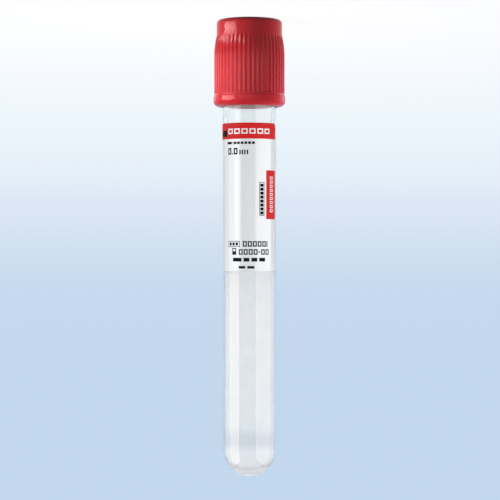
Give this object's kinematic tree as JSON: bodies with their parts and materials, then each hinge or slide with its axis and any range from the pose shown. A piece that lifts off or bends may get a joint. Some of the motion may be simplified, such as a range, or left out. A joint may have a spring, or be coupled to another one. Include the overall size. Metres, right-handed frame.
{
  "type": "blood collection tube",
  "caption": "Clear round-bottomed blood collection tube standing on its cap, with a wrapped label and a ribbed red safety cap over a rubber stopper.",
  "frame": {"origin": "on the surface that the cap's rim stands on, on the tube's axis", "axes": "+Z along the axis, from the cap to the round bottom, because the tube can't stand on its round bottom; -Y towards the middle of the label's front; -X to the right of the label as it is read with the cap up"},
  "size_m": [0.0176, 0.0176, 0.1121],
  "materials": {
    "clear_pet": "clear moulded polyester, glossy",
    "butyl_rubber": "moulded butyl rubber, matte",
    "red_cap_plastic": "red moulded polyethylene, glossy",
    "label_film": "glossy white film with printed fields of colour"
  },
  "bodies": {
    "cap": {"cap": "red_cap_plastic"},
    "stopper": {"stopper": "butyl_rubber"},
    "tube": {"tube": "clear_pet", "label": "label_film"}
  },
  "joints": [
    {"name": "cap_twist", "type": "hinge", "parent": "cap", "child": "stopper", "pos_m": [0, 0, 0.00854], "axis": [0, 0, 1], "continuous": true},
    {"name": "closure_pull", "type": "slide", "parent": "stopper", "child": "tube", "axis": [0, 0, 1], "range_m": [0, 0.025]}
  ]
}
